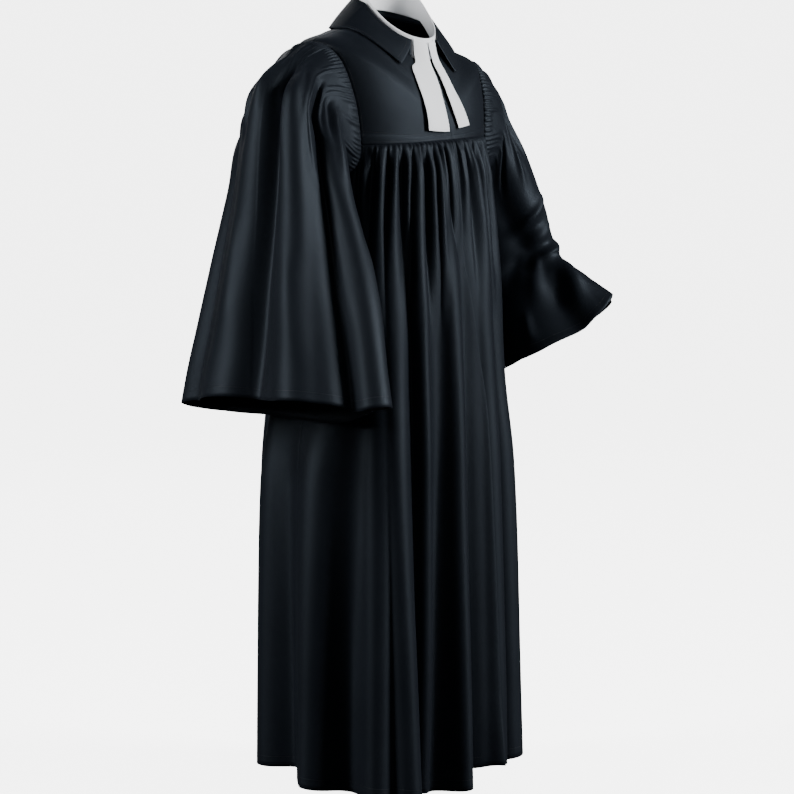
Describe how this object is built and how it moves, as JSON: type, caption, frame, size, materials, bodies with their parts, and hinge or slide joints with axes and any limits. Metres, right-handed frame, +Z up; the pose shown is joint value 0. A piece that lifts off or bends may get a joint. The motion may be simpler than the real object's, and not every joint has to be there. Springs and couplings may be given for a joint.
{
  "type": "geneva gown",
  "caption": "Long black preaching gown with a smooth yoke, gathered skirt, wide bell sleeves, a turned-down collar and white neck bands, hollow and open.",
  "frame": {"origin": "middle of the neck at shoulder level, where the wearer's shoulders carry the gown", "axes": "+Z up along the wearer; -Y to the wearer's front; +X to the wearer's left"},
  "size_m": [0.9147, 0.5482, 1.5086],
  "materials": {
    "black_cloth": "smooth satin-faced black cloth",
    "white_cloth": "crisp matt white cotton"
  },
  "bodies": {
    "root": {"yoke_back": "black_cloth", "yoke_front_right": "black_cloth", "yoke_front_left": "black_cloth", "front_right": "black_cloth", "front_left": "black_cloth", "back": "black_cloth", "sleeve_right": "black_cloth", "sleeve_left": "black_cloth", "collar_stand": "black_cloth", "collar_fall": "black_cloth", "neckband_white": "white_cloth", "band_tab_right": "white_cloth", "band_tab_left": "white_cloth"}
  },
  "joints": []
}
